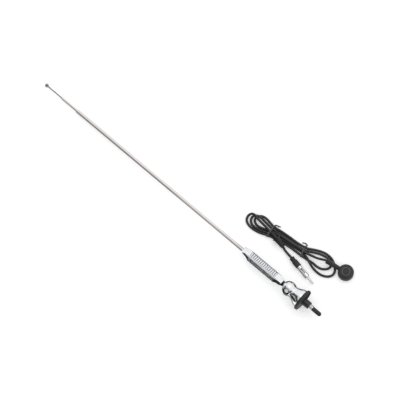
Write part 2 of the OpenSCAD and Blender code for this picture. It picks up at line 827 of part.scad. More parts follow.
module plug_insulator() {
    high = plug_boot_len + barrel_len;
    low = high - nylon_len;
    wide_h = nylon_len - nose_len - face_clear;
    full_h = nylon_len + nylon_out;
    color("#e8e4da") along_plug() translate([0, 0, low]) difference() {
        union() {
            cylinder(h = wide_h, r = barrel_d / 2 - barrel_wall - seat_clear);
            cylinder(h = full_h, r = nose_r - seat_clear);
        }
        translate([0, 0, -cut]) cylinder(h = full_h + 2 * cut, d = pin_neck_d + 2 * seat_clear);
    }
}

module plug_pin() {
    mouth = plug_boot_len + barrel_len;
    shoulder = mouth + nylon_out + face_clear;
    high = mouth + plug_pin_len;
    color("gainsboro") along_plug() {
        translate([0, 0, mouth - pin_in_barrel])
            cylinder(h = pin_in_barrel + shoulder - mouth + cut, d = pin_neck_d);
        translate([0, 0, shoulder]) cylinder(h = high - shoulder - plug_pin_d / 2, d = plug_pin_d);
        translate([0, 0, high - plug_pin_d / 2]) sphere(d = plug_pin_d);
    }
}

tip_ball();
tip_rod();
tip_stop();
tip_spring();
middle_tube();
middle_stop();
middle_spring();
outer_tube();
grip();
neck_ring();
swivel_half();
friction_disc();
swivel_screw();
swivel_washer();
swivel_nut();
base_bell();
gasket();
mount_bush();
base_stud();
end_sleeve();
stud_boot();
boot_contact();
boot_sleeve();
lead_tail();
lead_hank();
rear_tie();
front_tie();
inline_sleeve();
plug_tail();
plug_boot();
plug_barrel();
plug_insulator();
plug_pin();
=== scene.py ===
"""Car mast aerial with its lead: finishes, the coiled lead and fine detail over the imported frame."""

import json
import logging
import math
from collections.abc import Iterable
from dataclasses import dataclass, field, replace
from enum import Enum

import bmesh
import bpy
from mathutils import Matrix, Vector, geometry


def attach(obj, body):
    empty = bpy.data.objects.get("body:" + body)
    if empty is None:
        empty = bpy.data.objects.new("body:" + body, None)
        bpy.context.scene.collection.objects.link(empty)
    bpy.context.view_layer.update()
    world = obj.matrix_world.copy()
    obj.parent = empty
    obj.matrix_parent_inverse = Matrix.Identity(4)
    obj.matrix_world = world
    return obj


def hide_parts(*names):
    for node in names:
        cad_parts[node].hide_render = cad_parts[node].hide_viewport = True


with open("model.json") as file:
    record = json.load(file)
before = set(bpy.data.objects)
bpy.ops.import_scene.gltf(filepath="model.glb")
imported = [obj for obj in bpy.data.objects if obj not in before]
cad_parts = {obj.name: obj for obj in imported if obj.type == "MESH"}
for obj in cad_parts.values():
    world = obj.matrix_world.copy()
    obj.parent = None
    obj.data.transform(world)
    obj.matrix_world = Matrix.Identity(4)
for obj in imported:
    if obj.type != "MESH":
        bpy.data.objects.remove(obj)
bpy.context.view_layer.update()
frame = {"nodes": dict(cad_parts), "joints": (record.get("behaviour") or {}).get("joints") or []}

LOG = logging.getLogger("mast_aerial")
MM = 0.001
LEAD_PLACE = Vector((247.0, 0.0, 0.0))

Pair = tuple[float, float]
Triple = tuple[float, float, float]
Node = bpy.types.Node
Source = tuple[Node, str | int]
Material = bpy.types.Material
Mesh = bpy.types.Mesh
Piece = bpy.types.Object


def joint(name: str) -> dict:
    """Find a joint of the frame by its name, as the record states it."""
    return next(entry for entry in frame["joints"] if entry["name"] == name)


def metres(point: Triple) -> Vector:
    """Turn a place of the lead, in millimetres from below the swivel, into metres in the frame."""
    return (Vector(point) + LEAD_PLACE) * MM


def linked(name: str, data: bpy.types.ID) -> Piece:
    """Make an object of a mesh, a curve, a lamp or a camera, and link it to the scene.

    Args:
        name: the object's name.
        data: what it is made of.

    Returns:
        The object.
    """
    item = bpy.data.objects.new(name, data)
    bpy.context.scene.collection.objects.link(item)
    return item


def closed_form(form: bmesh.types.BMesh, name: str) -> Mesh:
    """Turn a form into a mesh, with its faces pointing outwards.

    Args:
        form: the form, which is freed.
        name: the mesh's name.

    Returns:
        The mesh.
    """
    bmesh.ops.recalc_face_normals(form, faces=form.faces)
    mesh = bpy.data.meshes.new(name)
    form.to_mesh(mesh)
    form.free()
    return mesh


def plain_mesh(item: Piece) -> Mesh:
    """Give what an object's modifiers make of it as a plain mesh."""
    return bpy.data.meshes.new_from_object(item.evaluated_get(bpy.context.evaluated_depsgraph_get()))


def smooth(mesh: Mesh, angle: float) -> None:
    """Shade a mesh smooth, apart from edges sharper than an angle in degrees."""
    mesh.shade_smooth()
    mesh.set_sharp_from_angle(angle=math.radians(angle))


@dataclass(frozen=True)
class Line:
    """A straight line that pieces are built along, with the side that counts as up."""

    start: Vector
    along: Vector
    up: Vector

    def place(self, distance: float = 0.0, roll: float = 0.0) -> Matrix:
        """Give the matrix that sets what is drawn upwards from the origin on the line.

        Args:
            distance: how far along the line, in metres.
            roll: turn about the line, in degrees.

        Returns:
            The matrix.
        """
        rise = self.along.normalized()
        side = (self.up - rise * self.up.dot(rise)).normalized()
        turn = Matrix((side, rise.cross(side), rise)).transposed().to_4x4()
        spin = Matrix.Rotation(math.radians(roll), 4, "Z")
        return Matrix.Translation(self.start + rise * distance) @ turn @ spin


SWIVEL = Vector(joint("ball_swivel")["pos_m"])
UP_THE_MAST = Vector(joint("middle_slide")["axis"])
MAST_LINE = Line(SWIVEL, UP_THE_MAST, Vector((0, 0, 1)))
BASE_LINE = Line(SWIVEL, -UP_THE_MAST, Vector((0, 0, -1)))
SCREW_LINE = Line(SWIVEL, Vector(joint("ball_swivel")["axis"]).normalized(), Vector((1, 0, 0)))
PLUG_TURN = math.radians(-10)
PLUG_LINE = Line(metres((-34.0, 47.5, 5.2)), Vector((math.cos(PLUG_TURN), math.sin(PLUG_TURN), 0)),
                 Vector((0, 0, -1)))


# Node graphs


class NodeGraph:
    """A node tree with short ways to add, feed and join its nodes.

    A source is a pair of a node and one of its outputs.
    """

    def __init__(self, tree: bpy.types.NodeTree) -> None:
        """Take the tree that the nodes go in."""
        self.tree = tree

    def feed(self, node: Node, inputs: dict[str | int, object]) -> None:
        """Give a node's inputs their values, or link them to their sources.

        Args:
            node: the node.
            inputs: a value or a source for each input.
        """
        for entry, value in inputs.items():
            if isinstance(value, tuple) and isinstance(value[0], Node):
                self.tree.links.new(value[0].outputs[value[1]], node.inputs[entry])
            else:
                node.inputs[entry].default_value = value

    def add(self, kind: str, inputs: dict[str | int, object] | None = None, **settings: object) -> Node:
        """Add a node, set its properties and feed its inputs.

        Args:
            kind: the node's type name.
            inputs: a value or a source for each input to feed.
            settings: properties of the node to set.

        Returns:
            The new node.
        """
        node = self.tree.nodes.new(kind)
        for key, value in settings.items():
            setattr(node, key, value)
        self.feed(node, inputs or {})
        return node

    def maths(self, operation: str, first: object, second: object) -> Source:
        """Work out one value from two values or sources."""
        return self.add("ShaderNodeMath", {0: first, 1: second}, operation=operation), 0

    def mixed(self, share: Source, first: object, second: object) -> Source:
        """Mix two colours or sources by the share of the second."""
        return self.add("ShaderNodeMixRGB", {"Fac": share, "Color1": first, "Color2": second}), "Color"

    def graded(self, value: Source, stops: Iterable[tuple[float, Triple]]) -> Source:
        """Turn a value into colours that change evenly from stop to stop.

        Args:
            value: the value.
            stops: pairs of value and colour, with the lowest and the highest first.

        Returns:
            The colour.
        """
        node = self.add("ShaderNodeValToRGB", {"Fac": value})
        elements = node.color_ramp.elements
        for index, (position, colour) in enumerate(stops):
            element = elements[index] if index < 2 else elements.new(position)
            element.position = position
            element.color = (*colour, 1.0)
        return node, "Color"


class ShaderGraph(NodeGraph):
    """A material's node tree, with its main shader and the patterns that feed it."""

    def __init__(self, name: str) -> None:
        """Start an empty material with its output and main shader.

        Args:
            name: the material's name.
        """
        self.material = bpy.data.materials.new(name)
        self.material.use_nodes = True
        super().__init__(self.material.node_tree)
        self.tree.nodes.clear()
        self.output = self.add("ShaderNodeOutputMaterial")
        self.shader = self.add("ShaderNodeBsdfPrincipled")
        self.feed(self.output, {"Surface": (self.shader, "BSDF")})
        self.coordinates = self.add("ShaderNodeTexCoord")

    def mapping(self, scale: Triple) -> Source:
        """Scale the object's own coordinates by repeats per metre along each axis."""
        place = self.coordinates, "Object"
        return self.add("ShaderNodeMapping", {"Scale": scale, "Vector": place}), "Vector"

    def noise(self, place: Source, scale: float, detail: float = 4.0, roughness: float = 0.55) -> Source:
        """Add a noise pattern on mapped coordinates, with layers of finer noise and their strength."""
        return self.add("ShaderNodeTexNoise", {
            "Scale": scale, "Detail": detail, "Roughness": roughness, "Vector": place}), 0

    def ramp(self, pattern: Source, low: float, high: float,
             start: float = 0.3, end: float = 0.7) -> Source:
        """Spread a pattern: its start value gives low and its end value gives high."""
        return self.add("ShaderNodeMapRange", {
            "From Min": start, "From Max": end, "To Min": low, "To Max": high, "Value": pattern}), "Result"

    def blend(self, pattern: Source, first: Triple, second: Triple) -> Source:
        """Blend two colours: the first where the pattern is dark, the second where it is light."""
        return self.graded(pattern, ((0.3, first), (0.7, second)))

    def bump(self, pattern: Source, height: float, strength: float) -> Source:
        """Raise a pattern as fine relief of a height in metres, and give its normals."""
        return self.add("ShaderNodeBump", {
            "Distance": height, "Strength": strength, "Height": pattern}), "Normal"

    def finished(self, inputs: dict[str, object]) -> Material:
        """Feed the main shader and give the material."""
        self.feed(self.shader, inputs)
        return self.material


# Finishes


class Grain(Enum):
    """Direction in which a metal's fine marks run."""

    EVEN = (1.0, 1.0, 1.0)
    LENGTHWISE = (0.04, 1.0, 1.0)


@dataclass(frozen=True)
class Finish:
    """A finish: two colours that cloud into each other, its gloss and a fine texture in relief."""

    name: str
    dark: Triple
    light: Triple
    gloss: Pair = (0.45, 0.62)
    texture: float = 1400.0
    relief: float = 0.00004
    grain: Grain = Grain.EVEN
    metallic: float = 0.0
    sheen: float = 0.5
    strength: float = 0.3
    cloud_share: float = 0.06
    cloud_detail: float = 4.0
    fine_detail: float = 5.0
    fine_roughness: float = 0.65

    def material(self) -> Material:
        """Build the finish's material.

        Returns:
            The finished material.
        """
        graph = ShaderGraph(self.name)
        place = graph.mapping(self.grain.value)
        clouds = graph.noise(place, self.texture * self.cloud_share, self.cloud_detail)
        fine = graph.noise(place, self.texture, self.fine_detail, self.fine_roughness)
        return graph.finished({
            "Base Color": graph.blend(clouds, self.dark, self.light), "Metallic": self.metallic,
            "Specular IOR Level": self.sheen, "Roughness": graph.ramp(fine, *self.gloss),
            "Normal": graph.bump(fine, self.relief, self.strength)})


class MouldedRubber(Finish):
    """Matt rubber or plastic, with its bloom and its moulded texture."""


@dataclass(frozen=True)
class PlatedMetal(Finish):
    """Plated or drawn metal, with its fine marks."""

    texture: float = 900.0
    relief: float = 0.00002
    metallic: float = 1.0
    strength: float = 0.15
    cloud_share: float = 0.12
    cloud_detail: float = 3.0
    fine_detail: float = 6.0
    fine_roughness: float = 0.6


CHROME = PlatedMetal("chrome_plate", (0.78, 0.79, 0.82), (0.86, 0.87, 0.89), (0.03, 0.08))
TIP_CHROME = PlatedMetal("tip_chrome", (0.2, 0.19, 0.19), (0.3, 0.29, 0.29), (0.16, 0.24))
STAINLESS = PlatedMetal(
    "drawn_stainless", (0.66, 0.63, 0.61), (0.75, 0.72, 0.7), (0.34, 0.44), 1400.0, 0.00001,
    Grain.LENGTHWISE)
TIP_STEEL = replace(STAINLESS, name="drawn_tip_steel", dark=(0.26, 0.25, 0.24), light=(0.34, 0.33, 0.32))
BRASS = PlatedMetal("turned_brass", (0.62, 0.44, 0.19), (0.76, 0.57, 0.28), (0.18, 0.3))
SPRING_BRASS = PlatedMetal("spring_brass", (0.5, 0.36, 0.17), (0.66, 0.5, 0.26), (0.25, 0.36))
ZINC = PlatedMetal("zinc_plate", (0.58, 0.59, 0.62), (0.72, 0.73, 0.75), (0.22, 0.38), 1500.0)
BRIGHT_ZINC = PlatedMetal(
    "bright_zinc", (0.84, 0.84, 0.86), (0.92, 0.92, 0.93), (0.36, 0.44), 1500.0, metallic=0.25)
NICKEL = PlatedMetal("plug_nickel", (0.76, 0.74, 0.72), (0.86, 0.84, 0.82), (0.08, 0.16), 1200.0)
# Darker chrome for the grooves between the grip's ribs: painted shade.
RIB_GROOVE_SHADE = PlatedMetal("painted_rib_groove_shade", (0.17, 0.17, 0.18), (0.28, 0.28, 0.29), (0.32, 0.46), 1300.0)
# Near-black plate for the recess round the swivel screw's head: painted shade.
SWIVEL_RECESS_SHADE = PlatedMetal("painted_swivel_recess_shade", (0.05, 0.05, 0.055), (0.09, 0.09, 0.095), (0.4, 0.5), 1300.0)
GASKET_RUBBER = MouldedRubber("gasket_rubber", (0.008, 0.008, 0.009), (0.02, 0.02, 0.022))
BLACK_PLASTIC = MouldedRubber(
    "black_plastic", (0.012, 0.012, 0.013), (0.024, 0.024, 0.026), (0.3, 0.42), 1800.0)
NECK_PLASTIC = MouldedRubber(
    "neck_plastic", (0.003, 0.003, 0.003), (0.007, 0.007, 0.007), (0.45, 0.6), 1800.0, sheen=0.15)
# Lighter rubber for the boot's moulded ring: a painted highlight where the ring catches the light.
RING_HIGHLIGHT_RUBBER = MouldedRubber("painted_ring_highlight", (0.09, 0.09, 0.093), (0.14, 0.14, 0.145), (0.4, 0.55))
BOOT_RUBBER = MouldedRubber(
    "boot_rubber", (0.016, 0.016, 0.017), (0.03, 0.03, 0.032), (0.45, 0.6), sheen=0.4)
SHRINK_SLEEVE = MouldedRubber(
    "shrink_sleeve", (0.014, 0.014, 0.015), (0.026, 0.026, 0.027), (0.36, 0.5), 1100.0, sheen=0.4)
CABLE_JACKET = MouldedRubber("cable_jacket", (0.01, 0.01, 0.011), (0.02, 0.02, 0.021), (0.26, 0.36), 1600.0)
TIE_PLASTIC = MouldedRubber(
    "tie_plastic", (0.055, 0.051, 0.045), (0.1, 0.094, 0.084), (0.35, 0.5), 1500.0, sheen=0.4)
FIBRE = MouldedRubber("fibre_disc", (0.05, 0.03, 0.02), (0.09, 0.055, 0.035), (0.7, 0.85), 1200.0)
WHITE_NYLON = MouldedRubber("plug_insulation", (0.62, 0.6, 0.54), (0.72, 0.7, 0.64), (0.35, 0.5), 1200.0)

# The nodes that wear each finish
WEARERS = (
    (CHROME, "grip swivel_half base_bell"),
    (TIP_CHROME, "tip_ball"),
    (TIP_STEEL, "tip_rod"),
    (STAINLESS, "outer_tube middle_tube"),
    (BRASS, "tip_stop middle_stop"),
    (SPRING_BRASS, "tip_spring middle_spring"),
    (ZINC, "swivel_screw swivel_washer swivel_nut base_stud"),
    (NICKEL, "boot_contact plug_barrel plug_pin"),
    (GASKET_RUBBER, "gasket end_sleeve"),
    (BLACK_PLASTIC, "mount_bush"),
    (NECK_PLASTIC, "neck_ring"),
    (BOOT_RUBBER, "stud_boot plug_boot"),
    (SHRINK_SLEEVE, "boot_sleeve inline_sleeve"),
    (CABLE_JACKET, "lead_tail lead_hank plug_tail"),
    (TIE_PLASTIC, "rear_tie front_tie"),
    (FIBRE, "friction_disc"),
    (WHITE_NYLON, "plug_insulator"))


@dataclass
class Finishes:
    """The aerial's finishes, each made once and given to the nodes that wear it."""

    made: dict[str, Material] = field(default_factory=dict)

    def get(self, finish: Finish) -> Material:
        """Give a finish's material, made the first time it is asked for.

        Args:
            finish: the finish.

        Returns:
            Its material.
        """
        if finish.name not in self.made:
            self.made[finish.name] = finish.material()
        return self.made[finish.name]

    def dress_nodes(self) -> None:
        """Give every node of the frame its finish."""
        worn_by = {name: finish for finish, names in WEARERS for name in names.split()}
        for name, node in frame["nodes"].items():
            node.data.materials.clear()
            node.data.materials.append(self.get(worn_by[name]))
        LOG.info("dressed %d nodes", len(frame["nodes"]))


# Shapes made by geometry nodes

RECESS_MARK = "recess"
SHAPE_EDGE = 35.0


class ShapeGraph(NodeGraph):
    """A geometry node tree with named sizes, which ends in Realize Instances and Set Material."""

    def __init__(self, name: str, sizes: tuple[str, ...]) -> None:
        """Start the tree with its sizes, its finishes and the geometry that it is given.

        Args:
            name: the tree's name.
            sizes: names of its size inputs.
        """
        super().__init__(bpy.data.node_groups.new(name, "GeometryNodeTree"))
        sockets = self.tree.interface
        sockets.new_socket("Geometry", in_out="INPUT", socket_type="NodeSocketGeometry")
        kinds = {label: "NodeSocketFloat" for label in sizes}
        kinds |= {label: "NodeSocketMaterial" for label in ("Finish", "Painted recess shade")}
        self.identifiers = {label: sockets.new_socket(label, in_out="INPUT", socket_type=kind).identifier
                            for label, kind in kinds.items()}
        sockets.new_socket("Geometry", in_out="OUTPUT", socket_type="NodeSocketGeometry")
        self.entry = self.add("NodeGroupInput")

    def size(self, label: str) -> Source:
        """Give one of the tree's sizes as a source."""
        return self.entry, label

    def vector(self, x: object = 0.0, y: object = 0.0, z: object = 0.0) -> Source:
        """Join three values or sources into a vector."""
        return self.add("ShaderNodeCombineXYZ", {0: x, 1: y, 2: z}), 0

    def circle(self, radius: str, resolution: int) -> Source:
        """Draw a circle whose radius is one of the tree's sizes."""
        return self.add("GeometryNodeCurvePrimitiveCircle", {
            "Resolution": resolution, "Radius": self.size(radius)}), 0

    def sweep(self, path: Source, profile: Source) -> Source:
        """Sweep a profile curve along a path curve into a closed mesh."""
        return self.add("GeometryNodeCurveToMesh", {
            "Curve": path, "Profile Curve": profile, "Fill Caps": True}), "Mesh"

    def close(self, shape: Source) -> None:
        """End the tree with realized instances in the finishes that it is given, with painted shade on the
        faces marked as a recess.

        Args:
            shape: the finished shape.
        """
        real = self.add("GeometryNodeRealizeInstances", {"Geometry": shape})
        dressed = self.add("GeometryNodeSetMaterial", {
            "Geometry": (real, 0), "Material": self.size("Finish")})
        # Faces marked as a recess get the second material, which paints shade into them.
        marked = self.add("GeometryNodeInputNamedAttribute", {"Name": RECESS_MARK}, data_type="INT")
        both = self.add("GeometryNodeSetMaterial", {
            "Geometry": (dressed, 0), "Selection": (marked, 0), "Material": self.size("Painted recess shade")})
        self.add("NodeGroupOutput", {"Geometry": (both, 0)})


def shape_by_nodes(name: str, graph: ShapeGraph, sizes: dict[str, float], finish: Material,
                   place: Matrix, given: Mesh | None = None, recess: Material | None = None) -> Piece:
    """Run a tree once and keep what it makes as a plain mesh in its place.

    Args:
        name: the piece's name.
        graph: the tree.
        sizes: a value for each of the tree's sizes, in metres or as a count.
        finish: the material that it gets.
        place: where the result goes in the frame.
        given: the mesh that the tree starts from, where it needs one.
        recess: the material of painted shade for the faces that are marked as a recess, where there are
            some.

    Returns:
        The piece's object, at the origin.
    """
    piece = linked(name, given or bpy.data.meshes.new(name))
    modifier = piece.modifiers.new("shape", "NODES")
    modifier.node_group = graph.tree
    for label, value in sizes.items():
        modifier[graph.identifiers[label]] = float(value)
    modifier[graph.identifiers["Finish"]] = finish
    modifier[graph.identifiers["Painted recess shade"]] = recess or finish
    plain = plain_mesh(piece)
    piece.modifiers.remove(modifier)
    piece.data = plain
    plain.name = name
    plain.transform(place)
    smooth(plain, SHAPE_EDGE)
    LOG.info("%s: %d faces", name, len(plain.polygons))
    return piece


def thread_graph() -> ShapeGraph:
    """Build the tree of a screw thread: one ridge that winds up a shank.

    Returns:
        The tree, with Radius, Pitch, Length and Ridge as its sizes.
    """
    graph = ShapeGraph("screw_thread", ("Radius", "Pitch", "Length", "Ridge"))
    turns = graph.maths("DIVIDE", graph.size("Length"), graph.size("Pitch"))
    winding = graph.add("GeometryNodeCurveSpiral", {
        "Resolution": 40, "Rotations": turns, "Start Radius": graph.size("Radius"),
        "End Radius": graph.size("Radius"), "Height": graph.size("Length")})
    graph.close(graph.sweep((winding, 0), graph.circle("Ridge", resolution=6)))
    return graph


def rings_graph() -> ShapeGraph:
    """Build the tree of turned rings: round beads one above the other.

    Returns:
        The tree, with Radius, Bead, Count and Pitch as its sizes.
    """
    graph = ShapeGraph("turned_rings", ("Radius", "Bead", "Count", "Pitch"))
    ring = graph.sweep(graph.circle("Radius", resolution=72), graph.circle("Bead", resolution=12))
    places = graph.add("GeometryNodeMeshLine", {
        "Count": graph.size("Count"), "Offset": graph.vector(z=graph.size("Pitch"))})
    rings = graph.add("GeometryNodeInstanceOnPoints", {"Points": (places, 0), "Instance": ring})
    graph.close((rings, 0))
    return graph


def ribs_graph() -> ShapeGraph:
    """Build the tree of the grip's ribs: round bars across each of its four faces.

    Returns:
        The tree, with Count, Pitch, First, Reach, Radius and Width as its sizes.
    """
    graph = ShapeGraph("grip_ribs", ("Count", "Pitch", "First", "Reach", "Radius", "Width"))
    half = graph.maths("MULTIPLY", graph.size("Width"), 0.5)
    line = graph.add("GeometryNodeCurvePrimitiveLine", {
        "Start": graph.vector(y=graph.maths("MULTIPLY", half, -1.0)), "End": graph.vector(y=half)})
    bar = graph.sweep((line, 0), graph.circle("Radius", resolution=32))
    row = graph.add("GeometryNodeMeshLine", {
        "Count": graph.size("Count"), "Offset": graph.vector(z=graph.size("Pitch")),
        "Start Location": graph.vector(x=graph.size("Reach"), z=graph.size("First"))})
    one_face = graph.add("GeometryNodeInstanceOnPoints", {"Points": (row, 0), "Instance": bar})
    sides = graph.add("GeometryNodeMeshLine", {"Count": 4, "Offset": (0.0, 0.0, 0.0)})
    quarter = graph.maths("MULTIPLY", (graph.add("GeometryNodeInputIndex"), 0), math.pi / 2)
    all_faces = graph.add("GeometryNodeInstanceOnPoints", {
        "Points": (sides, 0), "Instance": (one_face, 0), "Rotation": graph.vector(z=quarter)})
    both = graph.add("GeometryNodeJoinGeometry")
    for source in ((graph.entry, "Geometry"), (all_faces, 0)):
        graph.feed(both, {0: source})
    graph.close((both, 0))
    return graph


class Lie(Enum):
    """How a ribbon lies along its path: flat against what it wraps, or free to twist."""

    FLAT = "Z_UP"
    FREE = "MINIMUM_TWIST"


def ribbon_graph(lie: Lie) -> ShapeGraph:
    """Build the tree of a coated wire ribbon that follows the path that it is given.

    Args:
        lie: how the ribbon lies along its path.

    Returns:
        The tree, with Width, Thickness and Twist as its sizes.
    """
    graph = ShapeGraph(f"ribbon_{lie.name.lower()}", ("Width", "Thickness", "Twist"))
    path = graph.add("GeometryNodeMeshToCurve", {"Mesh": (graph.entry, "Geometry")})
    fair = graph.add("GeometryNodeResampleCurve", {"Curve": (path, 0), "Count": 120})
    held = graph.add("GeometryNodeSetCurveNormal", {"Curve": (fair, 0)}, mode=lie.value)
    along = graph.add("GeometryNodeSplineParameter"), "Factor"
    turned = graph.maths("MULTIPLY", along, graph.size("Twist"))
    tilted = graph.add("GeometryNodeSetCurveTilt", {"Curve": (held, 0), "Tilt": turned})
    strip = graph.add("GeometryNodeCurvePrimitiveQuadrilateral", {
        "Width": graph.size("Thickness"), "Height": graph.size("Width")})
    round_edge = graph.maths("MULTIPLY", graph.size("Thickness"), 0.45)
    rounded = graph.add("GeometryNodeFilletCurve", {"Curve": (strip, 0), "Radius": round_edge})
    graph.close(graph.sweep((tilted, 0), (rounded, 0)))
    return graph


# The grip


@dataclass
class Grip:
    """The cast grip: four ribbed faces between smooth corner strips, tapering to square ends."""

    finishes: Finishes
    width: float = 0.0155
    face: float = 0.0104
    end_width: float = 0.0108
    low: float = 0.0156
    ribs_low: float = 0.0304
    ribs_high: float = 0.089
    high: float = 0.105
    roll: float = 21.0
    rib_pitch: float = 0.0039
    rib_radius: float = 0.00145
    rib_height: float = 0.0009
    rib_sink: float = 0.00005
    margin: float = 0.0005
    gutter: float = 0.0006
    edge: float = 0.00022
    tube_hole: float = 0.00338
    socket: float = 0.055
    panel_wall: float = 0.00002
    overshoot: float = 0.005
    drill_sides: int = 64
    level_angle: float = 1.0
    flatness: float = 0.01
    sharp_angle: float = 5.0

    def corners(self) -> list[Vector]:
        """List the corner points of the grip without its ribs.

        Returns:
            The points, drawn upwards from the swivel's centre.
        """
        half, part, narrow = self.width / 2, self.face / 2, self.end_width / 2
        strip_end = (self.width + self.face) / 4
        share = (strip_end - narrow) / (half - narrow)
        signs = [(a, b) for a in (-1, 1) for b in (-1, 1)]
        points = []
        for end, ribs in ((self.low, self.ribs_low), (self.high, self.ribs_high)):
            for a, b in signs:
                points.append(Vector((a * narrow, b * narrow, end)))
                points.append(Vector((a * strip_end, b * strip_end, end + share * (ribs - end))))
                points.append(Vector((a * half, b * part, ribs)))
                points.append(Vector((a * part, b * half, ribs)))
        return points

    def body(self) -> Mesh:
        """Model the grip's body with a shallow panel in each face and rounded edges.

        Returns:
            The body's mesh.
        """
        form = bmesh.new()
        mark = form.faces.layers.int.new(RECESS_MARK)
        for point in self.corners():
            form.verts.new(point)
        bmesh.ops.convex_hull(form, input=form.verts)
        bmesh.ops.dissolve_limit(form, angle_limit=math.radians(self.level_angle), verts=form.verts,
                                 edges=form.edges)
        panels = [face for face in form.faces if abs(face.normal.z) < self.flatness
                  and max(abs(face.normal.x), abs(face.normal.y)) > 1 - self.flatness]
        bmesh.ops.inset_individual(form, faces=panels, thickness=self.margin, use_even_offset=True)
        sunk = bmesh.ops.inset_individual(form, faces=panels, thickness=self.panel_wall,
                                          depth=-(self.rib_sink + self.rib_height), use_even_offset=True)
        # The panel floors and walls between the ribs are marked to carry painted shade.
        for face in (*panels, *sunk["faces"]):
            face[mark] = 1
        sharp = [edge for edge in form.edges
                 if len(edge.link_faces) == 2 and edge.calc_face_angle() > math.radians(self.sharp_angle)]
        bmesh.ops.bevel(form, geom=sharp, offset=self.edge, segments=2, profile=0.5, affect="EDGES",
                        clamp_overlap=True)
        return closed_form(form, "grip_body")

    def drilled(self, mesh: Mesh) -> Mesh:
        """Drill the socket for the telescope into the grip's upper end.

        Args:
            mesh: the grip's body.

        Returns:
            The body with its socket.
        """
        drill = bmesh.new()
        length = self.socket + self.overshoot
        middle = Matrix.Translation((0, 0, self.high - self.socket + length / 2))
        bmesh.ops.create_cone(drill, cap_ends=True, segments=self.drill_sides, depth=length,
                              radius1=self.tube_hole, radius2=self.tube_hole, matrix=middle)
        body = linked(mesh.name, mesh)
        cutter = linked("grip_drill", closed_form(drill, "grip_drill"))
        modifier = body.modifiers.new("socket", "BOOLEAN")
        modifier.operation = "DIFFERENCE"
        modifier.solver = "EXACT"
        modifier.object = cutter
        hollow = plain_mesh(body)
        for item in (body, cutter):
            bpy.data.objects.remove(item)
        return hollow

    def install(self) -> None:
        """Build the grip in place of its plain node."""
        count = math.floor((self.ribs_high - self.ribs_low) / self.rib_pitch)
        spread = (count - 1) * self.rib_pitch
        sizes = {
            "Count": count, "Pitch": self.rib_pitch, "Radius": self.rib_radius,
            "First": self.ribs_low + (self.ribs_high - self.ribs_low - spread) / 2,
            "Reach": self.width / 2 - self.rib_sink - self.rib_radius,
            "Width": self.face - 2 * (self.margin + self.gutter)}
        # The marked grooves between the ribs get painted shade.
        grip = shape_by_nodes("ribbed_grip", ribs_graph(), sizes, self.finishes.get(CHROME),
                              MAST_LINE.place(roll=self.roll), self.drilled(self.body()),
                              self.finishes.get(RIB_GROOVE_SHADE))
        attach(grip, "mast")
        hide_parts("grip")


# The ball swivel and the bell


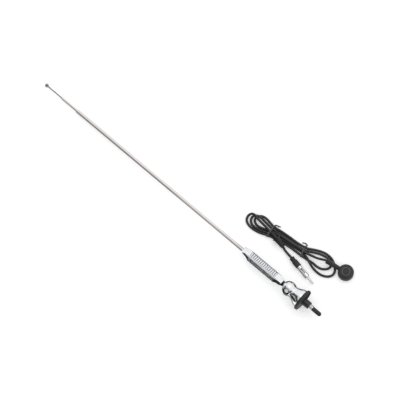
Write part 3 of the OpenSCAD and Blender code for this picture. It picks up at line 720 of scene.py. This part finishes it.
@dataclass
class Swivel:
    """The ball swivel: two polished castings and the domed screw that holds them together."""

    finishes: Finishes
    smooth_angle: float = 30.0
    seam: float = 0.000002
    recess_radius: float = 0.0066
    recess_floor: float = 0.0064
    segments: int = 48
    key_radius: float = 0.0025
    key_depth: float = 0.0014
    key_rim: float = 0.00005
    key_roll: float = 20.0
    shank: tuple[Pair, ...] = ((0.0021, -0.0095), (0.0025, -0.0091), (0.0025, 0.00755), (0.0041, 0.00755),
                               (0.0044, 0.0078), (0.0044, 0.0083))
    dome: Triple = (0.0044, 0.0083, 0.00225)
    dome_steps: int = 8
    dome_end: float = 50.0

    def polished(self, name: str, node: str, body: str) -> Piece:
        """Copy a casting, close its seams, paint shade into the recess round the screw's head and polish
        its curves smooth.

        Args:
            name: the new piece's name.
            node: the casting's node.
            body: the body that it rides on.

        Returns:
            The piece.
        """
        mesh = frame["nodes"][node].data.copy()
        mesh.name = name
        mesh.materials.clear()
        for finish in (CHROME, SWIVEL_RECESS_SHADE):
            mesh.materials.append(self.finishes.get(finish))
        form = bmesh.new()
        form.from_mesh(mesh)
        bmesh.ops.remove_doubles(form, verts=form.verts, dist=self.seam)
        for face in form.faces:
            # Faces in the recess round the screw's head get painted shade.
            face.material_index = int(self.in_recess(face.calc_center_median()))
        form.to_mesh(mesh)
        form.free()
        smooth(mesh, self.smooth_angle)
        piece = linked(name, mesh)
        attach(piece, body)
        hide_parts(node)
        return piece

    def in_recess(self, point: Vector) -> bool:
        """Tell whether a point lies in the recess round the screw's head.

        Args:
            point: the point in the frame.

        Returns:
            True inside the recess, its wall and floor included.
        """
        offset = point - SWIVEL
        height = offset.dot(SCREW_LINE.along)
        across = (offset - SCREW_LINE.along * height).length
        return height > self.recess_floor and across < self.recess_radius

    def rings(self) -> list[tuple[Vector, ...]]:
        """List the rings of points of the screw, from its tail to the foot of its key hole.

        Returns:
            The rings, drawn upwards along the screw.
        """
        wide, low, high = self.dome
        turns = [2 * math.pi * k / self.segments for k in range(self.segments)]
        profile = list(self.shank)
        for step in range(1, self.dome_steps + 1):
            angle = math.radians(self.dome_end * step / self.dome_steps)
            profile.append((wide * math.cos(angle), low + high * math.sin(angle)))
        top = profile[-1][1] + self.key_rim
        rings = [tuple(Vector((r * math.cos(a), r * math.sin(a), z)) for a in turns) for r, z in profile]
        sixth = math.pi / 3
        reach = [self.key_radius * math.cos(sixth / 2) / math.cos((a % sixth) - sixth / 2) for a in turns]
        for z in (top, top - self.key_depth):
            rings.append(tuple(Vector((r * math.cos(a), r * math.sin(a), z)) for r, a in zip(reach, turns)))
        return rings

    def screw(self) -> Piece:
        """Turn the domed screw with its six-sided key hole.

        Returns:
            The screw.
        """
        form = bmesh.new()
        made = [[form.verts.new(point) for point in ring] for ring in self.rings()]
        for lower, upper in zip(made, made[1:]):
            for k in range(self.segments):
                following = (k + 1) % self.segments
                form.faces.new((lower[k], lower[following], upper[following], upper[k]))
        form.faces.new(made[0][::-1])
        form.faces.new(made[-1])
        mesh = closed_form(form, "domed_screw")
        mesh.transform(SCREW_LINE.place(roll=self.key_roll))
        mesh.materials.append(self.finishes.get(BRIGHT_ZINC))
        smooth(mesh, self.smooth_angle)
        piece = linked("domed_screw", mesh)
        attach(piece, "base")
        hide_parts("swivel_screw")
        return piece

    def install(self) -> None:
        """Build the swivel's castings and its screw."""
        for piece in (self.polished("polished_half_ball", "swivel_half", "mast"),
                      self.polished("polished_bell", "base_bell", "base"), self.screw()):
            LOG.info("%s: %d faces", piece.name, len(piece.data.polygons))


# Turned details of the mast and the base


@dataclass
class TurnedDetails:
    """Rolled mouths of the tubes, the stud's thread and the turned rings of plug and boot."""

    finishes: Finishes
    outer_mouth: float = 0.492
    outer_radius: float = 0.00335
    middle_mouth: float = 0.5285
    middle_radius: float = 0.0023
    bead: float = 0.00022
    stud_low: float = 0.0472
    stud_length: float = 0.0058
    stud_radius: float = 0.0042
    stud_pitch: float = 0.00175
    stud_ridge: float = 0.00042
    barrel_start: float = 0.0208
    barrel_radius: float = 0.00395
    barrel_pitch: float = 0.0016
    boot_centre: Triple = (53.5, 89.5, 13.9)
    boot_ring: float = 0.0066
    boot_bead: float = 0.0006

    def install(self) -> None:
        """Build each detail on the piece that carries it."""
        rings, thread = rings_graph(), thread_graph()
        outer, middle, boot = (
            {"Radius": radius, "Bead": bead, "Count": 1, "Pitch": 0.0} for radius, bead in (
                (self.outer_radius - self.bead / 2, self.bead),
                (self.middle_radius - self.bead / 2, self.bead), (self.boot_ring, self.boot_bead)))
        stud = {"Radius": self.stud_radius, "Pitch": self.stud_pitch, "Length": self.stud_length,
                "Ridge": self.stud_ridge}
        barrel = {"Radius": self.barrel_radius, "Bead": self.bead, "Count": 2, "Pitch": self.barrel_pitch}
        boot_line = Line(metres(self.boot_centre), Vector((0, 0, 1)), Vector((1, 0, 0)))
        for name, graph, sizes, finish, place, body, slot in (
                ("outer_tube_bead", rings, outer, STAINLESS,
                 MAST_LINE.place(self.outer_mouth - self.bead), "mast", "stainless_tube"),
                ("middle_tube_bead", rings, middle, STAINLESS,
                 MAST_LINE.place(self.middle_mouth - self.bead), "middle_section", "stainless_tube"),
                ("stud_thread", thread, stud, ZINC, BASE_LINE.place(self.stud_low), "base", "zinc_plated"),
                ("barrel_rings", rings, barrel, NICKEL,
                 PLUG_LINE.place(self.barrel_start), "base", "plug_nickel"),
                # The boot's ring wears the lighter rubber: a painted highlight.
                ("boot_ring", rings, boot, RING_HIGHLIGHT_RUBBER, boot_line.place(), "base", "boot_rubber")):
            piece = shape_by_nodes(name, graph, sizes, self.finishes.get(finish), place)
            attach(piece, body)


# The lead

PLUG_END = [(-34.6, 47.6, 5.1), (-42, 48.8, 4.2), (-50, 50.2, 3.2), (-57.6, 52.5, 4.5)]
IN_SLEEVE = [(-64, 53.7, 6.7), (-70, 54.8, 8.9), (-77, 56, 11)]
REAR_LOOP_LOW = [
    (-82, 57, 10.6), (-87, 57.7, 8.7), (-93, 58.1, 6.9), (-103, 59.4, 7.9), (-114, 60.2, 8.4),
    (-124, 61.2, 9.2), (-131, 62.6, 9.4), (-136.6, 61.6, 8.2), (-139.7, 57.6, 6.2), (-139.8, 52.4, 4.6),
    (-137.2, 47.4, 3.4), (-132, 44.3, 2.7), (-124, 42.9, 2.3), (-113, 43.9, 2.3), (-102.8, 46.8, 2.5),
    (-93, 50.9, 3.1)]
FRONT_LOOP_IN = [
    (-77, 55.6, 2.6), (-60, 59.2, 2.4), (-43, 61.2, 2.6), (-27, 61.9, 3.1), (-14, 63.4, 2.3),
    (-2, 65.3, 2.3), (9, 65.4, 2.3), (17, 67.5, 2.3), (23.6, 72.5, 2.3), (26.5, 79, 2.3), (24, 85.3, 2.3),
    (17.4, 88.5, 2.3), (9, 88.6, 2.3), (-2, 85.8, 2.3), (-12, 80.8, 2.3), (-20, 76.4, 2.5),
    (-27, 72.7, 3.1)]
REAR_LOOP_MIDDLE = [
    (-43, 70.7, 2.4), (-60, 69.5, 2.3), (-77, 68, 2.4), (-93, 65.1, 3.1), (-105, 65.9, 3.9),
    (-114, 66.4, 4.9), (-122, 66.6, 6.4), (-128.5, 65, 6), (-132.8, 61, 4.5), (-133.3, 56, 3.4),
    (-130.3, 51, 2.7), (-124.5, 47.8, 2.3), (-115, 48, 2.3), (-104.1, 51, 2.5), (-93, 55.5, 3.1)]
FRONT_LOOP_OUT = [
    (-77, 60, 2.4), (-60, 63.6, 2.3), (-43, 65.9, 2.4), (-27, 67.4, 3.1), (-15, 65.2, 5.8),
    (-4, 60.9, 6.2), (6, 58.2, 4.7), (16, 57.6, 3.6), (26, 59.3, 2.8), (34.5, 64.4, 2.4),
    (38.7, 71.5, 2.3), (37.5, 79, 2.3), (31, 86, 2.3), (21.6, 91.9, 2.3), (10.1, 93.6, 2.3),
    (-1, 91.5, 2.3), (-11, 87, 2.3), (-20, 81.8, 2.5), (-27, 78.1, 3.1)]
REAR_LOOP_HIGH = [
    (-43, 75.3, 2.6), (-60, 74, 2.5), (-77, 72.4, 2.6), (-93, 69.9, 3.1), (-103, 71.1, 2.5),
    (-112, 72.4, 2.3), (-120, 71.5, 2.3), (-126, 67.5, 2.3), (-128.3, 62, 2.3), (-126.5, 56.6, 2.3),
    (-121, 53.2, 2.3), (-113, 53, 2.3), (-103.1, 56.2, 2.4), (-93, 60.3, 3.1)]
TOP_ROW = [(-77, 64, 4.4), (-60, 66.6, 5.5), (-43, 68.4, 6.2), (-27, 70, 6.8)]
BOOT_END = [(-21.5, 70.4, 6.8), (-12, 72.6, 6.9), (0, 76, 7.6), (7, 79, 9.4), (14.3, 82, 11.3)]
IN_BOOT_SLEEVE = [(26, 84.2, 9.9), (37.5, 86.4, 8.3)]

# Tails of the ties, from each tie's middle: along the hank, across it and up
REAR_TAIL = [(0.5, 9.2, 8.2), (1.5, 11.4, 9.2), (4.5, 13.2, 8.6), (7.5, 14.0, 6.8), (9.5, 15.6, 6.0)]
FRONT_TAIL = [(0.5, 7.8, 8.4), (2.5, 10.2, 9.8), (0.5, 12.6, 9.6), (-3.5, 13.2, 8.2), (-6.5, 12.4, 7.0)]


@dataclass
class TwistTie:
    """A coated wire tie round the hank, with its twisted tail."""

    finishes: Finishes
    name: str
    node: str
    place: Triple
    turn: float
    half_width: float
    peaks: Pair
    tail: list[Triple]
    width: float = 0.003
    thickness: float = 0.0007
    cable_radius: float = 0.0022
    stack: float = 0.0091
    twist: float = 9.0
    tail_share: float = 2.6
    tail_steps: int = 8
    clearance: float = 0.00045
    above_floor: float = 0.0008
    round_steps: int = 24

    def line(self) -> Matrix:
        """Give the matrix from the tie's own slice, drawn flat, to its place on the hank."""
        upright = Matrix(((0, 0, 1, 0), (1, 0, 0, 0), (0, 1, 0, 0), (0, 0, 0, 1)))
        turn = Matrix.Rotation(math.radians(self.turn), 4, "Z")
        return Matrix.Translation(metres(self.place)) @ turn @ upright

    def loop(self) -> list[Vector]:
        """List the points of the tie's closed way round the cables.

        Returns:
            The points in metres in the flat slice.
        """
        grow = self.cable_radius + self.clearance
        low = self.above_floor + self.cable_radius
        reach = self.half_width - self.cable_radius
        centres = [(-reach, low), (reach, low)]
        centres += [(peak, self.stack - self.cable_radius) for peak in self.peaks]
        turns = [2 * math.pi * k / self.round_steps for k in range(self.round_steps)]
        around = [Vector((x + grow * math.cos(angle), y + grow * math.sin(angle)))
                  for x, y in centres for angle in turns]
        return [Vector((*around[index], 0.0)) for index in geometry.convex_hull_2d(around)]

    def path(self, points: list[Vector], closed: bool) -> Mesh:
        """Make a path mesh of points and edges.

        Args:
            points: the points in order.
            closed: whether the last point joins the first.

        Returns:
            The path's mesh.
        """
        count = len(points)
        edges = [(k, (k + 1) % count) for k in range(count if closed else count - 1)]
        mesh = bpy.data.meshes.new("tie_path")
        mesh.from_pydata(points, edges, [])
        return mesh

    def install(self) -> list[Piece]:
        """Build the tie and its tail in place of the plain node.

        Returns:
            The two pieces.
        """
        finish = self.finishes.get(TIE_PLASTIC)
        tail_points = smooth_path([Vector((y, z, x)) * MM for x, y, z in self.tail], self.tail_steps)
        band, tail = (
            shape_by_nodes(f"{self.name}_{part}", ribbon_graph(lie),
                           {"Width": self.width, "Thickness": self.thickness * share, "Twist": twist},
                           finish, self.line(), path)
            for part, lie, share, twist, path in (
                ("band", Lie.FLAT, 1.0, 0.0, self.path(self.loop(), True)),
                ("tail", Lie.FREE, self.tail_share, self.twist, self.path(tail_points, False))))
        for piece in (band, tail):
            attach(piece, "base")
        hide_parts(self.node)
        return [band, tail]


def smooth_path(points: list[Vector], steps: int) -> list[Vector]:
    """Run a smooth curve through chosen points.

    Args:
        points: the points to pass.
        steps: short steps between each two.

    Returns:
        The points of the smooth path.
    """
    last = len(points) - 1
    path = []
    for index in range(last):
        before, start = points[max(index - 1, 0)], points[index]
        end, after = points[index + 1], points[min(index + 2, last)]
        bend = 2 * before - 5 * start + 4 * end - after
        skew = 3 * start - before - 3 * end + after
        for step in range(steps):
            t = step / steps
            path.append(0.5 * (2 * start + (end - before) * t + bend * t * t + skew * t * t * t))
    return path + [points[last]]


@dataclass
class Lead:
    """The coaxial lead: one cable from the radio plug through the tied hank to the round boot."""

    finishes: Finishes
    ties: list[Piece]
    diameter: float = 0.0044
    slack: float = 1.008
    exit: Triple = (37.5, 86.4, 8.3)

    def route(self) -> list[Vector]:
        """List the points that the cable follows, from the boot to the plug.

        Returns:
            The points in metres in the shared frame.
        """
        parts = [PLUG_END, IN_SLEEVE, REAR_LOOP_LOW, FRONT_LOOP_IN, REAR_LOOP_MIDDLE, FRONT_LOOP_OUT,
                 REAR_LOOP_HIGH, TOP_ROW, BOOT_END, IN_BOOT_SLEEVE]
        points = [metres(point) for part in parts for point in part]
        return points[::-1]

    def build(self) -> Piece:
        """Lay the cable along its route as one round curve.

        Returns:
            The cable's curve object.
        """
        points = self.route()
        last = len(points) - 1
        curve = bpy.data.curves.new("lead_cable", "CURVE")
        curve.dimensions = "3D"
        curve.bevel_depth = self.diameter / 2
        curve.bevel_resolution = 6
        curve.resolution_u = 8
        curve.use_fill_caps = True
        spline = curve.splines.new("BEZIER")
        spline.bezier_points.add(last)
        for index, (knot, place) in enumerate(zip(spline.bezier_points, points)):
            before, after = points[max(index - 1, 0)], points[min(index + 1, last)]
            along = (after - before).normalized()
            knot.co = place
            knot.handle_left = place - along * (place - before).length / 3
            knot.handle_right = place + along * (after - place).length / 3
        curve.materials.append(self.finishes.get(CABLE_JACKET))
        return linked("lead_cable", curve)

    def measure(self, points: list[Vector]) -> float:
        """Add up the cable's length along its route, with a little more for its curves."""
        return sum((after - before).length for before, after in zip(points, points[1:])) * self.slack

    def install(self) -> None:
        cable = self.build()
        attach(cable, "base")
        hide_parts("lead_tail", "lead_hank", "plug_tail")
        LOG.info("lead: %.3f m of cable", self.measure(self.route()))


# The studio


@dataclass
class Studio:
    """Floor, cards, lamp, world and camera of the photograph."""

    position: Triple = (0.90750, -0.97830, 4.65350)
    focus: Triple = (0.02417, 0.02182, 0.0)
    lens: float = 250.0
    far_shades: tuple[Pair, ...] = ((0.0, 0.7), (1.0, 1.1), (0.15, 1.0))
    near_shades: tuple[Pair, ...] = ((0.0, 0.85), (1.0, 0.7), (0.12, 0.7), (0.28, 0.06), (0.54, 0.06),
                                     (0.72, 0.72), (0.95, 0.65))
    side_edge: Pair = (-0.25, 0.1)
    soft_light: float = 0.85
    paper_glow: float = 0.28
    floor_reach: float = 6.0
    weave_light: float = 1.3
    card_low: float = 0.0005
    card_high: float = 0.05
    card_away: float = -0.12

    def camera(self) -> None:
        """Place the camera as in the photograph."""
        data = bpy.data.cameras.new("camera")
        data.lens = self.lens
        data.sensor_width = 36.0
        camera = linked("camera", data)
        camera.location = self.position
        aim = Vector(self.focus) - Vector(self.position)
        camera.rotation_euler = aim.to_track_quat("-Z", "Y").to_euler()
        bpy.context.scene.camera = camera

    def sheet(self, name: str, corners: list[Triple], material: Material) -> Piece:
        """Set up one flat sheet of the studio.

        Args:
            name: the sheet's name.
            corners: its four corners in metres.
            material: its material.

        Returns:
            The sheet's object.
        """
        mesh = bpy.data.meshes.new(name)
        mesh.from_pydata(corners, [], [(0, 1, 2, 3)])
        mesh.materials.append(material)
        sheet = linked(name, mesh)
        return sheet

    def paper(self) -> Material:
        """Make the white paper of the floor, which glows a little so that it prints as pure white.

        Returns:
            The paper's material.
        """
        graph = ShaderGraph("studio_paper")
        grain = graph.noise(graph.mapping(Grain.EVEN.value), scale=300.0)
        ray = graph.add("ShaderNodeLightPath")
        seen = ray, "Is Camera Ray"
        for kind in ("Is Glossy Ray", "Is Transmission Ray"):
            seen = graph.maths("ADD", seen, (ray, kind))
        return graph.finished({
            "Base Color": graph.blend(grain, (0.95,) * 3, (0.97,) * 3),
            "Roughness": 0.9, "Specular IOR Level": 0.0, "Emission Color": (1.0, 1.0, 1.0, 1.0),
            "Emission Strength": graph.ramp(seen, 0.0, self.paper_glow, 0.0, 1.0),
            "Normal": graph.bump(grain, height=0.0001, strength=0.1)})

    def cloth(self, name: str, grey: float, one_sided: bool = False) -> Material:
        """Make the plain cloth of a card.

        Args:
            name: the material's name.
            grey: how light the cloth is.
            one_sided: whether rays that meet its back pass through it.

        Returns:
            The cloth's material.
        """
        graph = ShaderGraph(name)
        weave = graph.noise(graph.mapping(Grain.EVEN.value), scale=500.0)
        if one_sided:
            side, clear = graph.add("ShaderNodeNewGeometry"), graph.add("ShaderNodeBsdfTransparent")
            either = graph.add("ShaderNodeMixShader", {
                0: (side, "Backfacing"), 1: (graph.shader, "BSDF"), 2: (clear, "BSDF")})
            graph.feed(graph.output, {"Surface": (either, "Shader")})
        tones = (grey,) * 3, (grey * self.weave_light,) * 3
        return graph.finished({"Base Color": graph.blend(weave, *tones), "Roughness": 1.0})

    def floor(self) -> None:
        """Lay the floor under the part."""
        far = self.floor_reach
        corners = [(-far, -far, 0), (far, -far, 0), (far, far, 0), (-far, far, 0)]
        self.sheet("studio_floor", corners, self.paper())

    def leaning(self, foot: Pair, head: Pair, near: float) -> list[Triple]:
        """List the corners of a card that leans away from its foot, near the aerial, to its head."""
        return [(foot[0], near, self.card_low), (foot[1], near, self.card_low),
                (head[1], self.card_away, self.card_high), (head[0], self.card_away, self.card_high)]

    def lying(self, along: Pair, across: Pair) -> list[Triple]:
        """List the corners of a card that lies just above the floor."""
        return [(along[0], across[0], self.card_low), (along[1], across[0], self.card_low),
                (along[1], across[1], self.card_low), (along[0], across[1], self.card_low)]

    def cards(self) -> None:
        """Set dark and pale cards close beside the aerial, which only the metal's reflections see."""
        black, grey, pale = (self.cloth(f"{name}_cloth", tone)
                             for name, tone in (("black", 0.02), ("grey", 0.3), ("pale", 0.55)))
        white = self.cloth("white_cloth", 0.74, one_sided=True)
        high = self.card_high
        for name, corners, material in (
                ("flag_beside_grip", self.leaning((0.13, 0.243), (0.12, 0.25), -0.024), black),
                ("flag_beside_bell", self.lying((0.243, 0.285), (-0.034, -0.012)), grey),
                ("flag_beside_tube", self.leaning((-0.3, -0.02), (-0.3, -0.02), -0.006), grey),
                ("flag_at_grip_end", self.leaning((-0.02, 0.13), (-0.02, 0.12), -0.006), pale),
                ("flag_on_floor", self.lying((0.125, 0.31), (0.006, 0.055)), black),
                ("card_beside_plug", [(0.29, 0.0285, 0.006), (0.22, 0.0305, 0.006), (0.22, 0.028, high),
                                      (0.29, 0.026, high)], white)):
            card = self.sheet(name, corners, material)
            card.visible_camera = False
            card.visible_diffuse = False
            card.visible_shadow = False

    def lamp(self, name: str, place: Triple, size: float, power: float) -> None:
        """Hang a soft square lamp that points at the middle of the part.

        Args:
            name: the lamp's name.
            place: where it hangs, in metres.
            size: its side in metres.
            power: its power in watts.
        """
        data = bpy.data.lights.new(name, "AREA")
        data.size = size
        data.energy = power
        lamp = linked(name, data)
        lamp.location = place
        lamp.rotation_euler = (-Vector(place)).to_track_quat("-Z", "Y").to_euler()

    def world(self) -> None:
        """Light the room evenly, and let polished metal see its white far side and dark near side."""
        world = bpy.data.worlds.new("studio")
        bpy.context.scene.world = world
        world.use_nodes = True
        graph = NodeGraph(world.node_tree)
        parts = graph.add("ShaderNodeSeparateXYZ", {0: (graph.add("ShaderNodeTexCoord"), "Generated")})
        start, end = self.side_edge
        side = graph.add("ShaderNodeMapRange", {"From Min": start, "From Max": end, "Value": (parts, "Y")},
                         interpolation_type="SMOOTHSTEP")
        near, far = (graph.graded((parts, "Z"), [(height, (grey,) * 3) for height, grey in shades])
                     for shades in (self.near_shades, self.far_shades))
        ray = graph.add("ShaderNodeLightPath")
        in_metal = graph.mixed((side, "Result"), near, far)
        soft = graph.mixed((ray, "Is Glossy Ray"), (*(self.soft_light,) * 3, 1.0), in_metal)
        shown = graph.mixed((ray, "Is Camera Ray"), soft, (1.0, 1.0, 1.0, 1.0))
        graph.feed(graph.tree.nodes["Background"], {"Color": shown})

    def build(self) -> None:
        """Set up the whole studio."""
        self.camera()
        self.floor()
        self.cards()
        self.world()
        self.lamp("key_lamp", (-0.4, 1.1, 2.6), size=1.6, power=5.0)
        bpy.context.scene.view_settings.view_transform = "Standard"
        LOG.info("studio is set")


def main() -> None:
    """Build the studio, the finishes, the details and the lead in order."""
    logging.basicConfig(level=logging.INFO, format="%(message)s")
    Studio().build()
    finishes = Finishes()
    finishes.dress_nodes()
    for part in (Grip, Swivel, TurnedDetails):
        part(finishes).install()
    rear = TwistTie(finishes, "rear_tie", "rear_tie", (-93.0, 60.6, 0.0), 4.0, 0.0119,
                    (-0.0004, 0.0062), REAR_TAIL)
    front = TwistTie(finishes, "front_tie", "front_tie", (-27.0, 70.0, 0.0), 17.0, 0.0104,
                     (-0.0016, 0.0016), FRONT_TAIL)
    Lead(finishes, rear.install() + front.install()).install()


if __name__ == "__main__":
    main()
